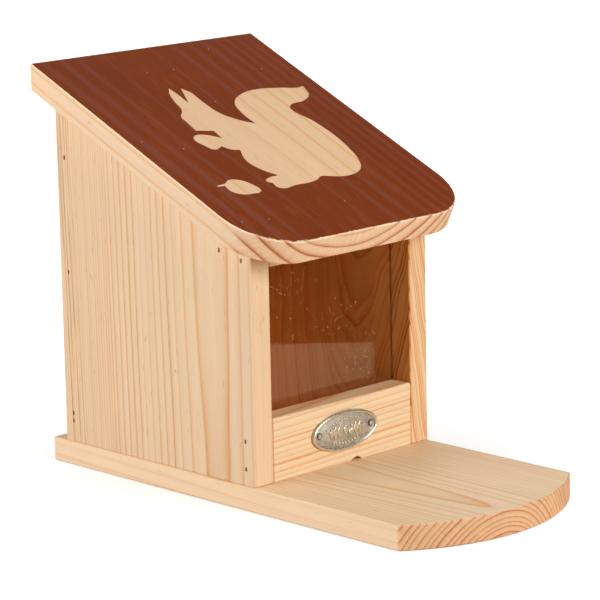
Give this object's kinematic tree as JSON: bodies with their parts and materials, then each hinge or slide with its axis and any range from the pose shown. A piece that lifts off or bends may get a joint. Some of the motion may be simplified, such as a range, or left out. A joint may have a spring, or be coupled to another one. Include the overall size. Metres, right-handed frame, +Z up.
{
  "type": "squirrel feeder box",
  "caption": "Wooden squirrel feeder: a nut box with a clear window under a sloping lid hinged at the back, on a base board that runs out in front as a rounded porch.",
  "frame": {"origin": "middle of the underside of the base board", "axes": "+Z up, +Y to the hinged back, -Y to the porch, +X to the right of someone facing the window"},
  "size_m": [0.147, 0.257, 0.2015],
  "materials": {
    "pine": "planed bare pine",
    "painted_pine": "pine with a matt red-brown top and bare edges",
    "clear_pane": "clear acrylic",
    "pewter": "antique pewter casting",
    "brass": "plain pressed brass",
    "brad_steel": "bright steel wire"
  },
  "bodies": {
    "box": {"base_board": "pine", "left_side": "pine", "right_side": "pine", "back_panel": "pine", "front_board": "pine", "top_rail": "pine", "window_pane": "clear_pane", "oval_plate": "pewter", "plate_pins": "pewter", "back_panel_brads": "brad_steel", "front_board_brads": "brad_steel", "rail_brads": "brad_steel", "base_brads": "brad_steel", "hinge_box_screws": "brass", "left_hinge_box_leaf": "brass", "left_hinge_pin": "brass", "right_hinge_box_leaf": "brass", "right_hinge_pin": "brass"},
    "lid": {"roof_lid": "painted_pine", "hinge_lid_screws": "brass", "left_hinge_lid_leaf": "brass", "right_hinge_lid_leaf": "brass"}
  },
  "joints": [
    {"name": "lid_hinge", "type": "hinge", "parent": "box", "child": "lid", "pos_m": [0, 0.1208, 0.18852], "axis": [-1, 0, 0], "range_deg": [0, 110]}
  ]
}
